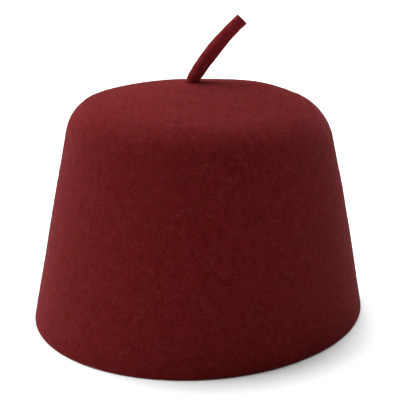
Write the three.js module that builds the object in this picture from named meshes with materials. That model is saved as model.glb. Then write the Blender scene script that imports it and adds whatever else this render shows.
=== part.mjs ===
// A plain felt fez, in millimetres, +Z up. The crown is one hollow piece of moulded wool felt: oval,
// tapered, with a round shoulder and a slightly domed, uneven top, open below. Its cut edge lies on z = 0
// round the origin, and the oval's long way runs along Y. A short stalk of rolled felt stands up through
// a hole near the middle of the top, leans over towards +X and +Y, and has a flat round root inside.

import * as THREE from 'three';

// Crown: driving dimensions
const feltThickness = 2.5;
const rimRadius = 94;            // outside of the cut edge, the oval's mean
const domeHeight = 127.9;        // the smooth dome's highest point
const domeRadius = 212;          // of the top, seen from the side
const shoulderRadius = 23.3;     // of the round shoulder between top and side
const sideTaper = degrees(11.8); // from vertical
const ovality = 0.046;           // the rim is longer along Y, and shorter along X, by this share
const ovalityLostAtTop = 0.2;    // the share of it that is gone at the top

// The top isn't level. It falls away towards the side that the stalk leans to.
const leanAzimuth = degrees(45); // from +X towards +Y
const topFall = degrees(3);

// Soft rises and dips of the top: where each one's middle is, along the way the stalk leans and across.
const softRises = [
  { name: 'beyond the stalk', along: 36, across: 0, reach: 31.5, height: 5.8 },
  { name: 'round the stalk', along: -4.1, across: 0, reach: 14, height: 1.1 },
  { name: 'dip behind the stalk', along: -44, across: 22, reach: 22, height: -0.8 },
];

// Soft swellings of the side: where each one's middle is, round from the way the stalk leans and up
// from the rim, and how far it reaches both ways.
const softSwellings = [
  { name: 'below the rise', round: 0, height: 67.5, reachRound: degrees(40), reachUp: 45, out: 1.55 },
];
const rimHeld = 20;              // height over which a swelling dies out towards the cut edge

// Stalk: driving dimensions
const stalkAlong = -4.1;         // its foot, from the crown's axis towards the way it leans
const stalkGap = 0.4;            // all round it in its hole
const rootRadius = 9;
const rootThickness = 2;
const rootGap = 1.25;            // below the felt of the top, at the stalk

// How far the stalk has leaned over from vertical, and how thick it is, at each length above the
// outside of the crown. The last row is its cut end, and the cut isn't quite square to it.
const stalkSections = [
  { length: 0, lean: degrees(0), radius: 3.45 },
  { length: 2.5, lean: degrees(32.5), radius: 3.5 },
  { length: 9, lean: degrees(34.5), radius: 3.8 },
  { length: 26, lean: degrees(40.2), radius: 3.9 },
  { length: 38.5, lean: degrees(45.5), radius: 3.4 },
  { length: 43.1, lean: degrees(50), radius: 3.55 },
];
const cutSlant = degrees(-6);
const holeRadius = stalkSections[0].radius + stalkGap;

// Facets
const crownSides = 72;
const sideSteps = 5;
const shoulderSteps = 7;
const domeSteps = 7;
const stalkSides = 18;
const stalkStep = 2.5;           // between its sections

const felt = { color: 0x5f1a1b, roughness: 0.95, metalness: 0 };

function degrees(angle) {
  return THREE.MathUtils.degToRad(angle);
}

// Directions along and across the way the stalk leans
const alongAxis = new THREE.Vector3(Math.cos(leanAzimuth), Math.sin(leanAzimuth), 0);
const acrossAxis = new THREE.Vector3(-Math.sin(leanAzimuth), Math.cos(leanAzimuth), 0);
const up = new THREE.Vector3(0, 0, 1);

// A closed mesh over rings of points. Each ring has the same number of points, in turn round the
// piece. The rings either close on each other, or end in a flat cap over the first and the last.
function skin(rings, closesOnItself) {
  const sides = rings[0].length;
  const points = rings.flat();
  const triangles = [];
  const joins = closesOnItself ? rings.length : rings.length - 1;
  for (let ring = 0; ring < joins; ring += 1) {
    const here = ring * sides;
    const next = ((ring + 1) % rings.length) * sides;
    for (let side = 0; side < sides; side += 1) {
      const turn = (side + 1) % sides;
      triangles.push(here + side, next + side, next + turn);
      triangles.push(here + side, next + turn, here + turn);
    }
  }
  if (!closesOnItself) {
    const last = (rings.length - 1) * sides;
    const firstMiddle = points.push(middleOf(rings[0])) - 1;
    const lastMiddle = points.push(middleOf(rings[rings.length - 1])) - 1;
    for (let side = 0; side < sides; side += 1) {
      const turn = (side + 1) % sides;
      triangles.push(firstMiddle, side, turn);
      triangles.push(lastMiddle, last + turn, last + side);
    }
  }
  const geometry = new THREE.BufferGeometry().setFromPoints(points);
  geometry.setIndex(triangles);
  geometry.computeVertexNormals();
  return geometry;
}

function middleOf(ring) {
  const sum = new THREE.Vector3();
  ring.forEach((point) => sum.add(point));
  return sum.divideScalar(ring.length);
}

// The crown's section: a straight side, the shoulder's arc and the dome's arc, each tangent to the next.
// The section of the inside has the same arc centres, with the felt's thickness off each radius.
function crownSection(inset) {
  const sin = Math.sin(sideTaper);
  const cos = Math.cos(sideTaper);
  const domeCentre = domeHeight - domeRadius;

  // The shoulder's centre lies its radius inside the side, and touches the dome from within:
  // centreR cos + centreZ sin = reach, and centreR^2 + (centreZ - domeCentre)^2 = apart^2.
  const reach = rimRadius * cos - shoulderRadius;
  const apart = domeRadius - shoulderRadius;
  const a = 1 / (cos * cos);
  const b = -2 * ((reach * sin) / (cos * cos) + domeCentre);
  const c = (reach / cos) ** 2 + domeCentre ** 2 - apart ** 2;
  const centreZ = (-b + Math.sqrt(b * b - 4 * a * c)) / (2 * a);
  const centreR = (reach - centreZ * sin) / cos;

  const shoulderR = shoulderRadius - inset;
  const domeR = domeRadius - inset;
  const join = Math.atan2(centreZ - domeCentre, centreR);
  const hole = Math.acos(holeRadius / domeR);
  const sideFoot = { r: rimRadius - inset / cos, z: 0 };
  const sideTop = { r: centreR + shoulderR * cos, z: centreZ + shoulderR * sin };

  const section = [];
  for (let step = 0; step < domeSteps; step += 1) {
    const angle = THREE.MathUtils.lerp(hole, join, step / domeSteps);
    section.push({ r: domeR * Math.cos(angle), z: domeCentre + domeR * Math.sin(angle) });
  }
  for (let step = 0; step < shoulderSteps; step += 1) {
    const angle = THREE.MathUtils.lerp(join, sideTaper, step / shoulderSteps);
    section.push({ r: centreR + shoulderR * Math.cos(angle), z: centreZ + shoulderR * Math.sin(angle) });
  }
  for (let step = 0; step <= sideSteps; step += 1) {
    const share = step / sideSteps;
    section.push({
      r: THREE.MathUtils.lerp(sideTop.r, sideFoot.r, share),
      z: THREE.MathUtils.lerp(sideTop.z, sideFoot.z, share),
    });
  }
  return section;
}

// Moves a point of the smooth dome up or down to the real, uneven top. The cut edge stays where it is.
function settle(x, y, z) {
  const share = z / domeHeight;
  const along = x * alongAxis.x + y * alongAxis.y;
  const across = x * acrossAxis.x + y * acrossAxis.y;
  let lift = -Math.tan(topFall) * along;
  for (const rise of softRises) {
    const away = Math.hypot(along - rise.along, across - rise.across) / rise.reach;
    lift += rise.height * Math.exp(-away * away);
  }
  return new THREE.Vector3(x, y, z + share * lift);
}

// How far the side stands out from the smooth crown there.
function swell(turn, z) {
  let out = 0;
  for (const swelling of softSwellings) {
    const off = turn - leanAzimuth - swelling.round;
    const round = Math.atan2(Math.sin(off), Math.cos(off)) / swelling.reachRound;
    const upward = (z - swelling.height) / swelling.reachUp;
    out += swelling.out * Math.exp(-round * round - upward * upward);
  }
  return out * Math.min(z / rimHeld, 1);
}

// One ring of the crown. Towards the middle of the top the rings turn from ovals round the crown's
// axis to circles round the stalk's hole.
function crownRing({ r, z }) {
  const pull = ((rimRadius - r) / (rimRadius - holeRadius)) ** 2;
  const oval = ovality * (1 - (ovalityLostAtTop * z) / domeHeight) * (1 - pull);
  const middle = alongAxis.clone().multiplyScalar(stalkAlong * pull);
  const ring = [];
  for (let side = 0; side < crownSides; side += 1) {
    const turn = (side / crownSides) * 2 * Math.PI;
    const radius = r * (1 - oval * Math.cos(2 * turn)) + swell(turn, z) * (1 - pull);
    ring.push(settle(middle.x + radius * Math.cos(turn), middle.y + radius * Math.sin(turn), z));
  }
  return ring;
}

function makeCrown() {
  const outside = crownSection(0);
  const inside = crownSection(feltThickness);
  const rings = [...outside, ...inside.reverse()].map(crownRing);
  return skin(rings, true);
}

// One section of the stalk, a circle square to the way that the stalk points there.
function stalkRing(middle, lean, radius) {
  const sideways = alongAxis.clone().multiplyScalar(Math.cos(lean)).addScaledVector(up, -Math.sin(lean));
  const ring = [];
  for (let side = 0; side < stalkSides; side += 1) {
    const turn = (side / stalkSides) * 2 * Math.PI;
    const point = middle.clone();
    point.addScaledVector(sideways, radius * Math.cos(turn));
    point.addScaledVector(acrossAxis, radius * Math.sin(turn));
    ring.push(point);
  }
  return ring;
}

// What a column of the stalk's table says at a length between its rows.
function stalkAt(length, column) {
  let row = 1;
  while (row < stalkSections.length - 1 && stalkSections[row].length < length) row += 1;
  const above = stalkSections[row];
  const below = stalkSections[row - 1];
  const share = (length - below.length) / (above.length - below.length);
  return THREE.MathUtils.lerp(below[column], above[column], share);
}

function makeStalk() {
  const foot = alongAxis.clone().multiplyScalar(stalkAlong);
  const top = settle(foot.x, foot.y, domeHeight);
  const rootTop = top.z - feltThickness - rootGap;
  const rootBottom = rootTop - rootThickness;
  const neckRadius = stalkSections[0].radius;

  const rings = [
    stalkRing(foot.clone().setZ(rootBottom), 0, rootRadius),
    stalkRing(foot.clone().setZ(rootTop), 0, rootRadius),
    stalkRing(foot.clone().setZ(rootTop), 0, neckRadius),
    stalkRing(top, 0, neckRadius),
  ];
  const wholeLength = stalkSections[stalkSections.length - 1].length;
  const stretches = Math.round(wholeLength / stalkStep);
  const stretch = wholeLength / stretches;
  const middle = top.clone();
  for (let step = 1; step <= stretches; step += 1) {
    const halfway = stalkAt((step - 0.5) * stretch, 'lean');
    middle.addScaledVector(alongAxis, stretch * Math.sin(halfway));
    middle.addScaledVector(up, stretch * Math.cos(halfway));
    const lean = stalkAt(step * stretch, 'lean') + (step === stretches ? cutSlant : 0);
    rings.push(stalkRing(middle, lean, stalkAt(step * stretch, 'radius')));
  }
  return skin(rings.reverse(), false);
}

function addPiece(group, name, geometry) {
  const piece = new THREE.Mesh(geometry, new THREE.MeshStandardMaterial(felt));
  piece.name = name;
  group.add(piece);
}

const fez = new THREE.Group();
addPiece(fez, 'crown', makeCrown());
addPiece(fez, 'stalk', makeStalk());

export default fez;
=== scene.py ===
"""The looks of a plain felt fez: its crown as fine moulded felt, its rolled stalk and its loose fibres, with
painted shade and highlights among the fibres.
"""

import math

import bpy
import numpy as np
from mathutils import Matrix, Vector, noise


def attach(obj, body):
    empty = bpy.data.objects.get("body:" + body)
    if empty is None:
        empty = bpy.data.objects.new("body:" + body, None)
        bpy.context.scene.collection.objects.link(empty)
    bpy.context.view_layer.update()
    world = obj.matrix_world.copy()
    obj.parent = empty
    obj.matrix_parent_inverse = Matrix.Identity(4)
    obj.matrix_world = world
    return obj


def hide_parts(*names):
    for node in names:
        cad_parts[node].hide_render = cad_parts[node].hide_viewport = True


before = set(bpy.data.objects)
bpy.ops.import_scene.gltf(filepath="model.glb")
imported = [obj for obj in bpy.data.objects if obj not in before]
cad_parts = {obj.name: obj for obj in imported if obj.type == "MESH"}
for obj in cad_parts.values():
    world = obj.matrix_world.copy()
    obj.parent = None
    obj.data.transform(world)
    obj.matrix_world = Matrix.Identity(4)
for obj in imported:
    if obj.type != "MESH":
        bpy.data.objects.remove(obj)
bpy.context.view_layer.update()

MM = 0.001
scene = bpy.context.scene

# ---------------------------------------------------------------- the hat's driving sizes, as in its frame

FELT = 2.5 * MM
RIM_RADIUS = 94 * MM
DOME_HEIGHT = 127.9 * MM
DOME_RADIUS = 212 * MM
SHOULDER_RADIUS = 23.3 * MM
SIDE_TAPER = math.radians(11.8)
OVALITY = 0.046
OVALITY_LOST_AT_TOP = 0.2
LEAN_AZIMUTH = math.radians(45)
TOP_FALL = math.radians(3)
SOFT_RISES = [
    {"name": "beyond the stalk", "along": 36 * MM, "across": 0, "reach": 31.5 * MM, "height": 5.8 * MM},
    {"name": "round the stalk", "along": -4.1 * MM, "across": 0, "reach": 14 * MM, "height": 1.1 * MM},
    {"name": "dip behind it", "along": -44 * MM, "across": 22 * MM, "reach": 22 * MM, "height": -0.8 * MM},
]
SOFT_SWELLINGS = [
    {"name": "below the rise", "round": 0, "height": 67.5 * MM, "reach_round": math.radians(40),
     "reach_up": 45 * MM, "out": 1.55 * MM},
]
RIM_HELD = 20 * MM

STALK_ALONG = -4.1 * MM
STALK_GAP = 0.2 * MM             # tighter than in the frame, so that no dark ring shows round the stalk
ROOT_RADIUS = 9 * MM
ROOT_THICKNESS = 2 * MM
ROOT_GAP = 1.25 * MM
STALK_SECTIONS = [
    {"length": 0, "lean": 0, "radius": 3.45 * MM},
    {"length": 2.5 * MM, "lean": math.radians(32.5), "radius": 3.5 * MM},
    {"length": 9 * MM, "lean": math.radians(34.5), "radius": 3.8 * MM},
    {"length": 26 * MM, "lean": math.radians(40.2), "radius": 3.9 * MM},
    {"length": 38.5 * MM, "lean": math.radians(45.5), "radius": 3.4 * MM},
    {"length": 43.1 * MM, "lean": math.radians(50), "radius": 3.55 * MM},
]
CUT_SLANT = math.radians(-6)
STALK_FOOT_RADIUS = STALK_SECTIONS[0]["radius"]
HOLE_RADIUS = STALK_FOOT_RADIUS + STALK_GAP

ALONG = np.array([math.cos(LEAN_AZIMUTH), math.sin(LEAN_AZIMUTH), 0.0])
ACROSS = np.array([-math.sin(LEAN_AZIMUTH), math.cos(LEAN_AZIMUTH), 0.0])
UP = np.array([0.0, 0.0, 1.0])

# ---------------------------------------------------------------- mesh helpers

SEED_SHIFT = (17.3, 5.1, 11.7)   # how far each step of a seed moves the noise, in lumps
NO_LENGTH = 1e-12


def grid_faces(rows, columns, close_rows):
    """Quads over a grid of points that closes on itself across, and down too if close_rows."""
    row = np.arange(rows if close_rows else rows - 1)[:, None]
    column = np.arange(columns)[None]
    next_row = (row + 1) % rows
    next_column = (column + 1) % columns
    corners = (
        row * columns + column,
        next_row * columns + column,
        next_row * columns + next_column,
        row * columns + next_column,
    )
    return np.stack([np.broadcast_to(c, (len(row), columns)) for c in corners], -1).reshape(-1, 4)


def unit(vectors):
    """The same ways, each with length 1."""
    return vectors / np.maximum(np.linalg.norm(vectors, axis=-1, keepdims=True), NO_LENGTH)


def make_object(name, points, faces):
    """A smooth mesh of its own, in the scene."""
    mesh = bpy.data.meshes.new(name)
    mesh.from_pydata(points.tolist(), [], [list(face) for face in faces])
    mesh.update()
    mesh.shade_smooth()
    made = bpy.data.objects.new(name, mesh)
    scene.collection.objects.link(made)
    return made


def fillet(before, corner, after, radius, steps):
    """Points of an arc that rounds the corner of a section."""
    back, on = unit(before - corner), unit(after - corner)
    half = math.acos(float(np.clip(back @ on, -1, 1))) / 2
    middle = corner + unit(back + on) * radius / math.sin(half)
    first = corner + back * radius / math.tan(half) - middle
    last = corner + on * radius / math.tan(half) - middle
    turn = math.acos(float(np.clip(first @ last / radius**2, -1, 1)))
    shares = np.linspace(0, 1, steps)[:, None]
    return middle + (np.sin((1 - shares) * turn) * first + np.sin(shares * turn) * last) / math.sin(turn)


def grid_normals(points):
    """Outward unit normals of a closed grid of points, rows by columns by 3."""
    down = np.roll(points, -1, 0) - np.roll(points, 1, 0)
    round_ = np.roll(points, -1, 1) - np.roll(points, 1, 1)
    return unit(np.cross(down, round_))


def noise_field(points, size, seed):
    """Smooth noise from -1 to 1 at every point, with lumps of that size, moved aside by its seed."""
    shift = Vector([seed * part for part in SEED_SHIFT])
    flat = points.reshape(-1, 3) / size
    values = [noise.noise(Vector(p) + shift) for p in flat.tolist()]
    return np.array(values).reshape(points.shape[:-1])


def unevenness(points, lumps):
    """How far the lumps of a list raise or sink every point."""
    return sum(lump["height"] * noise_field(points, lump["size"], lump["seed"]) for lump in lumps)


# ---------------------------------------------------------------- the crown

CROWN_COLUMNS = 400
OUTSIDE_STEPS = {"dome_steps": 46, "shoulder_steps": 34, "side_steps": 68}
INSIDE_STEPS = {"dome_steps": 20, "shoulder_steps": 16, "side_steps": 26}
DOME_SPACING = 0.9               # below 1, the dome's rings lie a little closer towards the shoulder
RIM_ROUND = 0.8 * MM
HOLE_ROUND = 0.7 * MM
ROUND_STEPS = 5

# Pressed felt is never quite even. Its two faces swing together, and each has a grain of its own.
WALL_LUMPS = [
    {"height": 0.3 * MM, "size": 42 * MM, "seed": 1},
    {"height": 0.12 * MM, "size": 15 * MM, "seed": 2},
]
GRAIN_LUMPS = [{"height": 0.07 * MM, "size": 5 * MM, "seed": 3}]
SWING_HELD = 10 * MM             # height over which the swing dies out towards the cut edge
GRAIN_AT_RIM = 0.25              # the share of the grain that is left at the cut edge


def crown_arcs(inset):
    """Section of the smooth crown, inset from its outside: centres, radii and where the arcs join."""
    sin, cos = math.sin(SIDE_TAPER), math.cos(SIDE_TAPER)
    dome_z = DOME_HEIGHT - DOME_RADIUS
    reach = RIM_RADIUS * cos - SHOULDER_RADIUS
    apart = DOME_RADIUS - SHOULDER_RADIUS
    a = 1 / cos**2
    b = -2 * (reach * sin / cos**2 + dome_z)
    c = (reach / cos) ** 2 + dome_z**2 - apart**2
    middle_z = (-b + math.sqrt(b * b - 4 * a * c)) / (2 * a)
    middle_r = (reach - middle_z * sin) / cos
    return {
        "dome_z": dome_z,
        "dome_r": DOME_RADIUS - inset,
        "middle": np.array([middle_r, middle_z]),
        "shoulder_r": SHOULDER_RADIUS - inset,
        "join": math.atan2(middle_z - dome_z, middle_r),
        "foot": np.array([RIM_RADIUS - inset / cos, 0.0]),
    }


def crown_section(inset, dome_steps, shoulder_steps, side_steps):
    """Points (radius, height) from the hole's edge out over the shoulder and down to the rim."""
    arcs = crown_arcs(inset)
    first = math.acos(HOLE_RADIUS / arcs["dome_r"])
    shares = np.linspace(0, 1, dome_steps, endpoint=False) ** DOME_SPACING
    angles = first + (arcs["join"] - first) * shares
    dome = np.stack([np.cos(angles), np.sin(angles)], 1) * arcs["dome_r"] + [0, arcs["dome_z"]]
    angles = np.linspace(arcs["join"], SIDE_TAPER, shoulder_steps, endpoint=False)
    shoulder = np.stack([np.cos(angles), np.sin(angles)], 1) * arcs["shoulder_r"] + arcs["middle"]
    top = arcs["middle"] + arcs["shoulder_r"] * np.array([math.cos(SIDE_TAPER), math.sin(SIDE_TAPER)])
    shares = np.linspace(0, 1, side_steps)[:, None]
    side = top + (arcs["foot"] - top) * shares
    return np.concatenate([dome, shoulder, side])


def settle(x, y, z):
    """Height of the real, uneven top over a point of the smooth one. The rim stays level."""
    along = x * ALONG[0] + y * ALONG[1]
    across = x * ACROSS[0] + y * ACROSS[1]
    lift = -math.tan(TOP_FALL) * along
    for rise in SOFT_RISES:
        away2 = ((along - rise["along"]) ** 2 + (across - rise["across"]) ** 2) / rise["reach"] ** 2
        lift = lift + rise["height"] * np.exp(-away2)
    return z + lift * z / DOME_HEIGHT


def swell(turns, z):
    """How far the side stands out from the smooth crown there."""
    out = 0 * turns * z
    for swelling in SOFT_SWELLINGS:
        off = turns - LEAN_AZIMUTH - swelling["round"]
        round_ = np.arctan2(np.sin(off), np.cos(off)) / swelling["reach_round"]
        upward = (z - swelling["height"]) / swelling["reach_up"]
        out = out + swelling["out"] * np.exp(-(round_**2) - upward**2)
    return out * np.clip(z / RIM_HELD, 0, 1)


def crown_points(section, turns):
    """The section turned round the crown's axis, as rows by columns by 3."""
    r, z = section[:, 0][:, None], section[:, 1][:, None]
    pull = ((RIM_RADIUS - r) / (RIM_RADIUS - HOLE_RADIUS)) ** 2
    oval = OVALITY * (1 - OVALITY_LOST_AT_TOP * z / DOME_HEIGHT) * (1 - pull)
    radius = r * (1 - oval * np.cos(2 * turns)[None]) + swell(turns[None], z) * (1 - pull)
    x = ALONG[0] * STALK_ALONG * pull + radius * np.cos(turns)[None]
    y = ALONG[1] * STALK_ALONG * pull + radius * np.sin(turns)[None]
    return np.stack([x, y, settle(x, y, z + 0 * x)], -1)


def make_crown():
    """The whole crown as one closed skin. Returns its object, and its outside as a grid of points."""
    outside = crown_section(0, **OUTSIDE_STEPS)
    inside = crown_section(FELT, **INSIDE_STEPS)[::-1]
    rim_out = fillet(outside[-2], outside[-1], inside[0], RIM_ROUND, ROUND_STEPS)
    rim_in = fillet(outside[-1], inside[0], inside[1], RIM_ROUND, ROUND_STEPS)
    hole_in = fillet(inside[-2], inside[-1], outside[0], HOLE_ROUND, ROUND_STEPS)
    hole_out = fillet(inside[-1], outside[0], outside[1], HOLE_ROUND, ROUND_STEPS)
    outside, inside = outside[1:-1], inside[1:-1]
    section = np.concatenate([hole_out, outside, rim_out, rim_in, inside, hole_in])
    turns = np.arange(CROWN_COLUMNS) / CROWN_COLUMNS * 2 * math.pi
    points = crown_points(section, turns)

    normals = grid_normals(points)
    face = np.sign((normals * points).sum(-1))
    free = np.clip(points[..., 2] / SWING_HELD, 0, 1)
    swing = face * unevenness(points, WALL_LUMPS) * free
    grain = unevenness(points, GRAIN_LUMPS) * (GRAIN_AT_RIM + (1 - GRAIN_AT_RIM) * free)
    points = points + normals * (swing + grain)[..., None]
    points[..., 2] = np.maximum(points[..., 2], 0)

    rows = len(section)
    crown = make_object("crown_felt", points.reshape(-1, 3), grid_faces(rows, CROWN_COLUMNS, True))
    first_inside = len(hole_out) + len(outside) + len(rim_out) + len(rim_in)
    inner = np.zeros(rows, np.int32)
    inner[first_inside:] = 1
    crown.data.polygons.foreach_set("material_index", np.repeat(inner, CROWN_COLUMNS))
    return crown, points[: len(hole_out) + len(outside)]


# ---------------------------------------------------------------- the stalk

STALK_COLUMNS = 120
STALK_TURNS = np.arange(STALK_COLUMNS) / STALK_COLUMNS * 2 * math.pi
STALK_STEP = 0.45 * MM
STALK_FOOT = ALONG * STALK_ALONG

LAP_TURN = math.radians(255)     # where the rolled strip's edge lies, round the stalk
LAP_SWAY = math.radians(7)       # how far that edge wanders round it, to each side
LAP_SWAY_LENGTH = 7 * MM         # length of stalk over which the wandering turns by one radian
LAP_SWAY_START = 2
LAP_HEIGHT = 0.36 * MM
LAP_SOFTNESS = math.radians(10)
LAP_REGROWTH = 1.5               # how early round the stalk the profile grows full again behind the lap
LAP_AT_FOOT = 0.35               # the share of the lap's height that shows at the foot
LAP_GROWN = 8 * MM               # length above the crown at which it shows in full
MEAN_SUNK = 0.4                  # mean of how far the profile is sunk, as a share of the lap

# The stalk's thickness varies a little along it, from nothing at the foot.
THICKNESS_WAVES = [
    {"height": 0.06 * MM, "length": 6.5 * MM, "start": 0},
    {"height": 0.05 * MM, "length": 2.9 * MM, "start": 1},
]
THICKNESS_HELD = 4 * MM          # length over which it sets in
STALK_LUMPS = [
    {"height": 0.10 * MM, "size": 3.2 * MM, "seed": 5},
    {"height": 0.05 * MM, "size": 1.1 * MM, "seed": 6},
]
LUMPS_HELD = 2 * MM              # height above the crown over which the lumps set in

# The cut end: flat, with a groove between the turns of the rolled strip.
STRIP = 1.5 * MM                 # thickness of the rolled strip, as its end shows it
END_ROUND = 0.35 * MM            # radius of the cut end's edge
END_ROUND_ANGLES = np.radians([60, 30, 0])
END_INNERMOST = 0.02             # the innermost ring's share of the flat end's radius
END_RINGS = 30
END_WRAPS = 3
GROOVE_DEPTH = 0.5 * MM
GROOVE_WIDTH = 0.24 * MM
GROOVE_START = 0.35              # turn, in radians, over which the groove leaves the lap's edge
GROOVE_HEART = 0.4 * MM          # it ends at this radius
GROOVE_FAR = 5 * MM              # a distance from the groove at which nothing of it is left

# Below the crown's outside
NECK_RINGS = 8
NECK_TOP = 0.5 * MM              # below the crown's outside
NECK_FLARE = 0.3 * MM            # where the neck turns into the root
ROOT_ROUND = 0.6 * MM
ROOT_BEVEL = (0.15 * MM, 0.2 * MM)   # in and down, at the middle of the root's rounded edge
ROOT_TOP_RING = 0.7              # of the root's radius
ROOT_BOTTOM_RING = 0.5
ROOT_HEART = 0.1 * MM

FOOT_WITHOUT_FIBRES = 8          # rings of the shaft nearest the foot that carry none


def stalk_at(length, column):
    """What a column of the stalk's table says at that length above the crown, or at each of many."""
    lengths = [row["length"] for row in STALK_SECTIONS]
    return np.interp(length, lengths, [row[column] for row in STALK_SECTIONS])


def lap_turn_at(length):
    return LAP_TURN + LAP_SWAY * math.sin(length / LAP_SWAY_LENGTH + LAP_SWAY_START)


def lap_profile(length, strength):
    """Radius round a rolled strip: full up to the lap's edge, stepping down behind it, then growing again."""
    after = (STALK_TURNS - lap_turn_at(length)) % (2 * math.pi)
    step = np.clip(after / LAP_SOFTNESS, 0, 1)
    step = step * step * (3 - 2 * step)
    sunk = step * (1 - after / (2 * math.pi)) ** LAP_REGROWTH - MEAN_SUNK
    return stalk_at(length, "radius") - strength * LAP_HEIGHT * sunk


def stalk_ring(middle, lean, radius):
    """One ring of the stalk, square to the way that it points there."""
    sideways = ALONG * math.cos(lean) - UP * math.sin(lean)
    across = radius * np.sin(STALK_TURNS)
    return middle + np.outer(radius * np.cos(STALK_TURNS), sideways) + np.outer(across, ACROSS)


def stalk_middle_line(top):
    """Lengths from the foot to the tip, with the middle and the lean of the stalk at each."""
    whole = STALK_SECTIONS[-1]["length"]
    steps = int(round(whole / STALK_STEP))
    lengths = np.linspace(0, whole, steps + 1)
    halfway = stalk_at((lengths[1:] + lengths[:-1]) / 2, "lean")
    moves = np.outer(np.sin(halfway), ALONG) + np.outer(np.cos(halfway), UP)
    middles = top + np.concatenate([np.zeros((1, 3)), np.cumsum(moves * whole / steps, 0)])
    return lengths, middles, stalk_at(lengths, "lean")


def groove_depth(radius, outline, before_lap):
    """How deep the groove between the strip's turns is, round one ring of the cut end."""
    away = np.full(STALK_COLUMNS, np.inf)
    for wrap in range(END_WRAPS):
        unwound = before_lap + wrap * 2 * math.pi
        spiral = outline.min() - (STRIP - LAP_HEIGHT) * (1 - np.exp(-unwound / GROOVE_START))
        spiral = spiral - STRIP * unwound / (2 * math.pi)
        away = np.minimum(away, np.abs(radius - spiral) + GROOVE_FAR * (spiral < GROOVE_HEART))
    return GROOVE_DEPTH * np.exp(-((away / GROOVE_WIDTH) ** 2))


def cut_end_rings(length, tip, lean):
    """From the middle of the cut end out over its barely rounded edge."""
    way = ALONG * math.sin(lean) + UP * math.cos(lean)
    outline = lap_profile(length, 1.0)
    before_lap = (lap_turn_at(length) - STALK_TURNS) % (2 * math.pi)
    rings = []
    for share in np.linspace(END_INNERMOST, 1, END_RINGS):
        radius = (outline - END_ROUND) * share
        depth = groove_depth(radius, outline, before_lap)
        rings.append(stalk_ring(tip, lean, radius) - np.outer(depth, way))
    for angle in END_ROUND_ANGLES:
        radius = outline - END_ROUND * (1 - math.cos(angle))
        rings.append(stalk_ring(tip, lean, radius) - way * END_ROUND * (1 - math.sin(angle)))
    return rings


def shaft_ring(length, middle, lean):
    strength = LAP_AT_FOOT + (1 - LAP_AT_FOOT) * min(length / LAP_GROWN, 1)
    thicker = sum(
        wave["height"] * math.sin(length / wave["length"] + wave["start"]) for wave in THICKNESS_WAVES
    )
    return stalk_ring(middle, lean, lap_profile(length, strength) + thicker * min(length / THICKNESS_HELD, 1))


def neck_and_root_rings(top_height):
    """Straight down through the crown's hole, then out over the flat root and in to its middle."""
    root_top = top_height - FELT - ROOT_GAP
    bevel_in, bevel_down = ROOT_BEVEL
    neck_heights = np.linspace(top_height - NECK_TOP, root_top + NECK_FLARE, NECK_RINGS)
    section = [(STALK_FOOT_RADIUS, height) for height in neck_heights]
    section += [(radius, root_top + depth) for radius, depth in (
        (STALK_FOOT_RADIUS + NECK_FLARE, 0),
        (ROOT_RADIUS * ROOT_TOP_RING, 0),
        (ROOT_RADIUS - ROOT_ROUND, 0),
        (ROOT_RADIUS - bevel_in, -bevel_down),
        (ROOT_RADIUS, -ROOT_ROUND),
        (ROOT_RADIUS, ROOT_ROUND - ROOT_THICKNESS),
        (ROOT_RADIUS - bevel_in, bevel_down - ROOT_THICKNESS),
        (ROOT_RADIUS - ROOT_ROUND, -ROOT_THICKNESS),
        (ROOT_RADIUS * ROOT_BOTTOM_RING, -ROOT_THICKNESS),
        (ROOT_HEART, -ROOT_THICKNESS),
    )]
    return [
        stalk_ring(np.array([STALK_FOOT[0], STALK_FOOT[1], height]), 0, np.full(STALK_COLUMNS, radius))
        for radius, height in section
    ]


def make_stalk():
    """The whole stalk as one closed skin. Returns its object, and its shaft as a grid of points."""
    top_height = float(settle(STALK_FOOT[0], STALK_FOOT[1], DOME_HEIGHT))
    top = np.array([STALK_FOOT[0], STALK_FOOT[1], top_height])
    lengths, middles, leans = stalk_middle_line(top)
    end = cut_end_rings(lengths[-1], middles[-1], leans[-1] + CUT_SLANT)
    shaft = [shaft_ring(*place) for place in zip(lengths[-2::-1], middles[-2::-1], leans[-2::-1])]
    rings = np.array(end + shaft + neck_and_root_rings(top_height))

    out = unit(rings - rings.mean(1, keepdims=True))
    free = np.clip((rings[..., 2] - top_height) / LUMPS_HELD, 0, 1)
    rings = rings + out * (unevenness(rings, STALK_LUMPS) * free)[..., None]

    faces = grid_faces(len(rings), STALK_COLUMNS, False).tolist()
    last = (len(rings) - 1) * STALK_COLUMNS
    faces.append(list(range(STALK_COLUMNS)))
    faces.append([last + i for i in range(STALK_COLUMNS)][::-1])
    made = make_object("stalk_felt", rings.reshape(-1, 3), faces)
    return made, rings[len(end) : len(end) + len(shaft) - FOOT_WITHOUT_FIBRES]


# ---------------------------------------------------------------- loose fibres lying on the felt, and near-black strands of painted shade

FIBRE_POINTS = 7
FIBRE_SIDES = 3
FIBRE_BEND = 1.5                 # spread of how far a fibre turns from end to end, in radians
FIBRE_TWIST = 1.2                # spread of how far it sways to both sides on the way, in radians
FIBRE_TWIST_TURN = 5             # radians of that sway along the whole fibre
FIBRE_END_RISE = 0.15            # how far up the arch of a lifted fibre its ends start, in radians
FIBRE_SUNK = 0.3                 # height of a flat fibre's middle over the felt, as a share of its radius
UNLIKE_ANY_WAY = np.array([0.31, 0.57, 0.76])   # no fibre is likely to run exactly this way
EDGE_ROWS = 2                    # rows of a grid, at both its ends, on which no fibre starts
SHORT_OF_ROW = 0.001             # a fibre ends this much of a row before the last row but one


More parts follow.
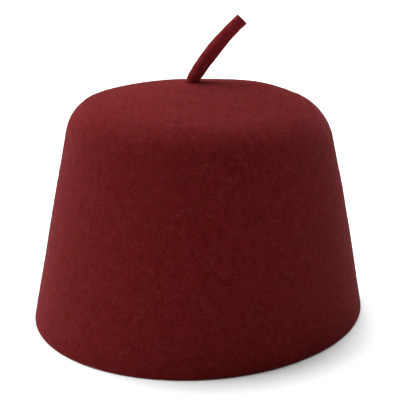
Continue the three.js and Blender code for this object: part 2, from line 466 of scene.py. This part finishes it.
def surface_at(grid, across, down):
    """Points and outward normals of a grid, closed across, at fractional places in it."""
    rows, columns = grid.shape[:2]
    normals = grid_normals(grid)
    down = np.clip(down, 1, rows - 2 - SHORT_OF_ROW)
    row, column = np.floor(down).astype(int), np.floor(across).astype(int)
    down_share, across_share = (down - row)[..., None], (across - column)[..., None]
    found = []
    for values in (grid, normals):
        upper = values[row, column % columns] * (1 - across_share)
        upper = upper + values[row, (column + 1) % columns] * across_share
        lower = values[row + 1, column % columns] * (1 - across_share)
        lower = lower + values[row + 1, (column + 1) % columns] * across_share
        found.append(upper * (1 - down_share) + lower * down_share)
    return found[0], found[1]


def tubes(paths, radius):
    """One mesh's points and faces: a thin three-sided tube with pointed ends along each path."""
    count, length = paths.shape[:2]
    way = unit(np.gradient(paths, axis=1))
    first = unit(np.cross(way, UNLIKE_ANY_WAY))
    second = np.cross(way, first)
    inner = slice(1, length - 1)
    turns = np.arange(FIBRE_SIDES) / FIBRE_SIDES * 2 * math.pi
    rings = paths[:, inner, None] + radius * (
        first[:, inner, None] * np.cos(turns)[:, None] + second[:, inner, None] * np.sin(turns)[:, None]
    )
    points = np.concatenate([rings.reshape(count, -1, 3), paths[:, :1], paths[:, -1:]], 1)
    per_fibre = points.shape[1]
    faces = []
    for ring in range(length - 3):
        for side in range(FIBRE_SIDES):
            here, on = ring * FIBRE_SIDES, (ring + 1) * FIBRE_SIDES
            turn = (side + 1) % FIBRE_SIDES
            faces.append((here + side, here + turn, on + turn))
            faces.append((here + side, on + turn, on + side))
    last = (length - 3) * FIBRE_SIDES
    for side in range(FIBRE_SIDES):
        turn = (side + 1) % FIBRE_SIDES
        faces.append((per_fibre - 2, turn, side))
        faces.append((last + side, last + turn, per_fibre - 1))
    faces = np.array(faces)[None] + (np.arange(count) * per_fibre)[:, None, None]
    return points.reshape(-1, 3), faces.reshape(-1, 3)


def make_fibres(grid, name, count, seed, length, radius, lift):
    """Short curled strands scattered evenly over a grid of points, each following the felt under it."""
    chance = np.random.default_rng(seed)
    rows, columns = grid.shape[:2]
    across_step = np.linalg.norm(np.roll(grid, -1, 1) - grid, axis=-1)
    down_step = np.linalg.norm(np.roll(grid, -1, 0) - grid, axis=-1)
    down_step[-1] = down_step[-2]
    area = across_step * down_step
    area[:EDGE_ROWS] = 0
    area[-EDGE_ROWS:] = 0
    picked = chance.choice(rows * columns, count, p=(area / area.sum()).ravel())
    row = picked // columns + chance.random(count)
    column = picked % columns + chance.random(count)
    across_size = across_step.ravel()[picked]
    down_size = down_step.ravel()[picked]

    lengths = length * (0.5 + chance.random(count))
    heading = chance.random(count) * 2 * math.pi
    bend = chance.normal(0, FIBRE_BEND, count)
    twist = chance.normal(0, FIBRE_TWIST, count)
    step = lengths / (FIBRE_POINTS - 1)
    downs, acrosses = [row], [column]
    for number in range(1, FIBRE_POINTS):
        share = number / (FIBRE_POINTS - 1) - 0.5
        turn = heading + bend * share + twist * math.sin(FIBRE_TWIST_TURN * share)
        downs.append(downs[-1] + step * np.sin(turn) / down_size)
        acrosses.append(acrosses[-1] + step * np.cos(turn) / across_size)
    points, normals = surface_at(grid, np.stack(acrosses, 1), np.stack(downs, 1))
    arch = np.sin(np.linspace(FIBRE_END_RISE, math.pi - FIBRE_END_RISE, FIBRE_POINTS))
    rise = arch[None] * (chance.random(count) * lift)[:, None]
    paths = points + normals * (rise + FIBRE_SUNK * radius)[..., None]
    made, faces = tubes(paths, radius)
    return make_object(name, made, faces)


# ---------------------------------------------------------------- materials

SEED_STEP = (0.37, 0.11, 0.23)   # how far each step of a seed moves the noise, in metres

# Sizes of the felt's lumps and fibres, and how they show. A curl's width is in the noise's own values.
MOTTLE = {"size": 4.5 * MM, "detail": 3.0, "seed": 1, "low": 0.32, "high": 0.68, "share": 0.55}
FINE = {"size": 0.8 * MM, "detail": 3.0, "seed": 2, "low": 0.3, "high": 0.7, "share": 0.45}
GRIT = {"size": 0.3 * MM, "detail": 2.0, "seed": 7}
RAISED_CURLS = [{"size": 3.4 * MM, "seed": 3, "width": 0.035}, {"size": 2.2 * MM, "seed": 4, "width": 0.045}]
SUNK_CURLS = [{"size": 2.8 * MM, "seed": 5, "width": 0.04}, {"size": 1.7 * MM, "seed": 6, "width": 0.05}]
CURL_WRING = 1.6                 # how far the noise that draws the curls is wrung
CURL_GAPS = {"wider": 1.3, "seed": 50, "low": 0.46, "high": 0.58}   # a second noise breaks the lines up
GAP_SHADE_SHARE = 0.45             # painted shade in the gaps between fibres: a sunk curl's colour, as a share of the deep one
FINE_HEIGHT = 0.8                # the fine lumps' height, as a share of a curl's
RELIEF = 0.12 * MM
FELT_ROUGHNESS = 0.95
FELT_SPECULAR = 0.04
SHEEN_ROUGHNESS = 0.45
PLAIN_ROUGHNESS = 0.9
PLAIN_SPECULAR = 0.1


def new_material(name):
    material = bpy.data.materials.new(name)
    material.use_nodes = True
    tree = material.node_tree
    return material, tree, tree.nodes["Principled BSDF"]


def noise_node(tree, size, detail, seed, distortion=0.0):
    """Noise in object space, with lumps of about that size in metres, moved aside by its seed."""
    place = tree.nodes.new("ShaderNodeTexCoord")
    shift = tree.nodes.new("ShaderNodeVectorMath")
    shift.operation = "ADD"
    shift.inputs[1].default_value = [seed * part for part in SEED_STEP]
    made = tree.nodes.new("ShaderNodeTexNoise")
    made.inputs["Scale"].default_value = 1 / size
    made.inputs["Detail"].default_value = detail
    made.inputs["Distortion"].default_value = distortion
    tree.links.new(place.outputs["Object"], shift.inputs[0])
    tree.links.new(shift.outputs[0], made.inputs["Vector"])
    return made.outputs["Fac"]


def math_node(tree, operation, first, second=None):
    """A sum or the like of two sockets or numbers."""
    made = tree.nodes.new("ShaderNodeMath")
    made.operation = operation
    for socket, value in zip(made.inputs, (first, second)):
        if value is None:
            continue
        if isinstance(value, (int, float)):
            socket.default_value = value
        else:
            tree.links.new(value, socket)
    return made.outputs[0]


def remap(tree, value, low, high, to_low=0.0, to_high=1.0):
    """Smoothly from to_low, where the value is low, to to_high, where it is high."""
    made = tree.nodes.new("ShaderNodeMapRange")
    made.interpolation_type = "SMOOTHSTEP"
    for name, number in (("From Min", low), ("From Max", high), ("To Min", to_low), ("To Max", to_high)):
        made.inputs[name].default_value = number
    tree.links.new(value, made.inputs["Value"])
    return made.outputs["Result"]


def curls(tree, size, seed, width):
    """Thin wandering lines, like short curled fibres: where a wrung noise crosses its middle value."""
    wrung = noise_node(tree, size, 1.0, seed, distortion=CURL_WRING)
    off = math_node(tree, "ABSOLUTE", math_node(tree, "SUBTRACT", wrung, 0.5))
    line = remap(tree, off, 0.0, width, 1.0, 0.0)
    patches = noise_node(tree, size * CURL_GAPS["wider"], 1.0, seed + CURL_GAPS["seed"])
    gaps = remap(tree, patches, CURL_GAPS["low"], CURL_GAPS["high"])
    return math_node(tree, "MULTIPLY", line, gaps)


def both_curls(tree, kinds):
    """The higher of two kinds of curls everywhere."""
    first, second = (curls(tree, **kind) for kind in kinds)
    return math_node(tree, "MAXIMUM", first, second)


def lumps(tree, kind):
    """Noise of that kind, with more contrast."""
    made = noise_node(tree, kind["size"], kind["detail"], kind["seed"])
    return remap(tree, made, kind["low"], kind["high"])


def mix_colour(tree, share, first, second):
    """From the first colour to the second, each a socket or three numbers, as the share grows."""
    made = tree.nodes.new("ShaderNodeMix")
    made.data_type = "RGBA"
    tree.links.new(share, made.inputs["Factor"])
    for socket, value in ((made.inputs["A"], first), (made.inputs["B"], second)):
        if isinstance(value, tuple):
            socket.default_value = (*value, 1.0)
        else:
            tree.links.new(value, socket)
    return made.outputs["Result"]


def felt_material(name, deep, body, light, curl_share, bump, sheen, sheen_tint):
    """Wool felt: mottled colour, with painted shade in the gaps and pale curled fibres lightened by a painted
    highlight, all raised or sunk as bump.
    """
    material, tree, shader = new_material(name)
    mottle, fine = lumps(tree, MOTTLE), lumps(tree, FINE)
    mottle_part = math_node(tree, "MULTIPLY", mottle, MOTTLE["share"])
    fine_part = math_node(tree, "MULTIPLY", fine, FINE["share"])
    colour = mix_colour(tree, math_node(tree, "ADD", mottle_part, fine_part), deep, body)

    raised, sunk = both_curls(tree, RAISED_CURLS), both_curls(tree, SUNK_CURLS)
    painted_gap_shade = tuple(GAP_SHADE_SHARE * part for part in deep)
    # pale curled fibres, their colour lightened and whitened further as a painted highlight of their sheen
    colour = mix_colour(tree, math_node(tree, "MULTIPLY", raised, curl_share), colour, light)
    # painted shade: the sunk curls, which stand for the gaps between fibres, darkened
    colour = mix_colour(tree, math_node(tree, "MULTIPLY", sunk, curl_share), colour, painted_gap_shade)
    tree.links.new(colour, shader.inputs["Base Color"])

    height = math_node(tree, "SUBTRACT", raised, sunk)
    height = math_node(tree, "ADD", height, math_node(tree, "MULTIPLY", fine, FINE_HEIGHT))
    height = math_node(tree, "ADD", height, noise_node(tree, **GRIT))
    relief = tree.nodes.new("ShaderNodeBump")
    relief.inputs["Strength"].default_value = bump
    relief.inputs["Distance"].default_value = RELIEF
    tree.links.new(height, relief.inputs["Height"])
    tree.links.new(relief.outputs["Normal"], shader.inputs["Normal"])

    shader.inputs["Roughness"].default_value = FELT_ROUGHNESS
    shader.inputs["Specular IOR Level"].default_value = FELT_SPECULAR
    shader.inputs["Sheen Weight"].default_value = sheen
    shader.inputs["Sheen Roughness"].default_value = SHEEN_ROUGHNESS
    shader.inputs["Sheen Tint"].default_value = (*sheen_tint, 1.0)
    return material


def plain_material(name, colour):
    material, _, shader = new_material(name)
    shader.inputs["Base Color"].default_value = (*colour, 1.0)
    shader.inputs["Roughness"].default_value = PLAIN_ROUGHNESS
    shader.inputs["Specular IOR Level"].default_value = PLAIN_SPECULAR
    return material


# Each felt's light colour is its pale fibres' own, lightened and whitened further as a painted highlight.
crown_felt = felt_material(
    "crown_felt", deep=(0.081, 0.0043, 0.0041), body=(0.105, 0.0064, 0.0061), light=(0.150, 0.024, 0.024),
    curl_share=0.4, bump=0.3, sheen=0.08, sheen_tint=(1.0, 0.22, 0.27),
)
inner_felt = felt_material(
    "inner_felt", deep=(0.078, 0.0042, 0.0040), body=(0.104, 0.0066, 0.0062), light=(0.150, 0.024, 0.024),
    curl_share=0.5, bump=0.4, sheen=0.05, sheen_tint=(1.0, 0.13, 0.18),
)
# The stalk's felt is the crown's, painted lighter by about a third to a half to stand in for light that falls
# on it from the front left.
stalk_felt = felt_material(
    "stalk_felt", deep=(0.104, 0.0066, 0.0078), body=(0.150, 0.0105, 0.0125), light=(0.215, 0.034, 0.039),
    curl_share=0.4, bump=0.35, sheen=0.07, sheen_tint=(1.0, 0.14, 0.20),
)

# ---------------------------------------------------------------- the pieces

crown, crown_outside = make_crown()
crown.data.materials.append(crown_felt)
crown.data.materials.append(inner_felt)
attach(crown, "root")
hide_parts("crown")

stalk, shaft = make_stalk()
stalk.data.materials.append(stalk_felt)
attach(stalk, "root")
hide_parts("stalk")

CROWN_FIBRES = [
    # pale fibres, lightened and whitened further as a painted highlight of their sheen
    {"name": "pale_fibres", "count": 6500, "seed": 11, "length": 3.4 * MM, "radius": 0.030 * MM,
     "lift": 0.15 * MM, "colour": (0.200, 0.036, 0.035)},
    # near-black strands: painted shade of the gaps between the felt's fibres
    {"name": "dark_fibres", "count": 6500, "seed": 12, "length": 1.7 * MM, "radius": 0.045 * MM,
     "lift": 0.03 * MM, "colour": (0.026, 0.0016, 0.0016)},
]
# The stalk's pale fibres are painted lighter again, as its felt is.
STALK_FIBRES = [
    # pale fibres, lightened further as a painted highlight of their sheen
    {"name": "stalk_pale_fibres", "count": 160, "seed": 21, "length": 2.6 * MM, "radius": 0.030 * MM,
     "lift": 0.15 * MM, "colour": (0.300, 0.075, 0.080)},
    # near-black strands: painted shade of the gaps between the felt's fibres
    {"name": "stalk_dark_fibres", "count": 120, "seed": 22, "length": 1.7 * MM, "radius": 0.060 * MM,
     "lift": 0.03 * MM, "colour": (0.014, 0.0010, 0.0012)},
]
for grid, kinds, finish in ((crown_outside, CROWN_FIBRES, "crown_felt"), (shaft, STALK_FIBRES, "stalk_felt")):
    for kind in kinds:
        shape = {key: value for key, value in kind.items() if key != "colour"}
        fibres = make_fibres(grid, **shape)
        fibres.data.materials.append(plain_material(kind["name"], kind["colour"]))
        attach(fibres, "root")

# ---------------------------------------------------------------- floor, light and camera

FLOOR_HALF = 6.0
FLOOR_HEIGHT = -0.1 * MM
FLOOR_COLOUR = (0.86, 0.86, 0.86)
STUDIO_LOW, STUDIO_HIGH = 0.04, 0.30   # between these heights, of 1 straight up, the studio gets darker
STUDIO_PALE, STUDIO_DARK = 0.85, 0.04

floor_corners = [
    (x * FLOOR_HALF, y * FLOOR_HALF, FLOOR_HEIGHT) for x, y in ((-1, -1), (1, -1), (1, 1), (-1, 1))
]
floor_mesh = bpy.data.meshes.new("floor")
floor_mesh.from_pydata(floor_corners, [], [(0, 1, 2, 3)])
floor = bpy.data.objects.new("floor", floor_mesh)
scene.collection.objects.link(floor)
floor.data.materials.append(plain_material("pale_floor", FLOOR_COLOUR))

# The studio round the hat: pale near the floor's far edge, darker overhead, where the lights are.
world = bpy.data.worlds.new("studio")
world.use_nodes = True
studio_tree = world.node_tree
studio = studio_tree.nodes["Background"]
studio.inputs["Color"].default_value = (1, 1, 1, 1)
place = studio_tree.nodes.new("ShaderNodeTexCoord")
split = studio_tree.nodes.new("ShaderNodeSeparateXYZ")
studio_tree.links.new(place.outputs["Generated"], split.inputs[0])
glow = remap(studio_tree, split.outputs["Z"], STUDIO_LOW, STUDIO_HIGH, STUDIO_PALE, STUDIO_DARK)
studio_tree.links.new(glow, studio.inputs["Strength"])
scene.world = world

VIEW_AZIMUTH = math.radians(45)
VIEW_RIGHT = np.array([math.cos(VIEW_AZIMUTH), math.sin(VIEW_AZIMUTH), 0.0])
VIEW_DEPTH = np.array([-math.sin(VIEW_AZIMUTH), math.cos(VIEW_AZIMUTH), 0.0])
CAMERA_DISTANCE = 0.52
CAMERA_ELEVATION = math.radians(18.1)
CAMERA_LENS = 82.5
CAMERA_SENSOR = 36
CAMERA_PIVOT = 0.06              # the height round which the camera is raised
AIM_RIGHT = -0.24 * MM
AIM_HEIGHT = 62.75 * MM
SUN_SPREAD = math.radians(40)


def seen_point(right, depth, height):
    """A point given by how far it is to the right, away and up, as the camera looks at the hat."""
    return Vector(VIEW_RIGHT * right + VIEW_DEPTH * depth + UP * height)


def aim(made, place, target):
    made.location = place
    made.rotation_euler = (target - place).to_track_quat("-Z", "Y").to_euler()


def soft_sun(name, azimuth, elevation, strength):
    """A broad, even light from afar. Azimuth 0 is the camera's right, and 90 degrees is away from it."""
    data = bpy.data.lights.new(name, "SUN")
    data.angle = SUN_SPREAD
    data.energy = strength
    made = bpy.data.objects.new(name, data)
    scene.collection.objects.link(made)
    flat, turn = math.cos(math.radians(elevation)), math.radians(azimuth)
    place = seen_point(flat * math.cos(turn), flat * math.sin(turn), math.sin(math.radians(elevation)))
    aim(made, place, Vector((0, 0, 0)))


soft_sun("left", azimuth=180, elevation=15, strength=1.9)
soft_sun("back_left_top", azimuth=140, elevation=65, strength=3.9)
soft_sun("back", azimuth=75, elevation=57, strength=2.5)

camera_data = bpy.data.cameras.new("camera")
camera_data.sensor_width = CAMERA_SENSOR
camera_data.lens = CAMERA_LENS
camera = bpy.data.objects.new("camera", camera_data)
scene.collection.objects.link(camera)
camera_back = CAMERA_DISTANCE * math.cos(CAMERA_ELEVATION)
camera_height = CAMERA_PIVOT + CAMERA_DISTANCE * math.sin(CAMERA_ELEVATION)
aim(camera, seen_point(0, -camera_back, camera_height), seen_point(AIM_RIGHT, 0, AIM_HEIGHT))
scene.camera = camera
scene.view_settings.view_transform = "Standard"
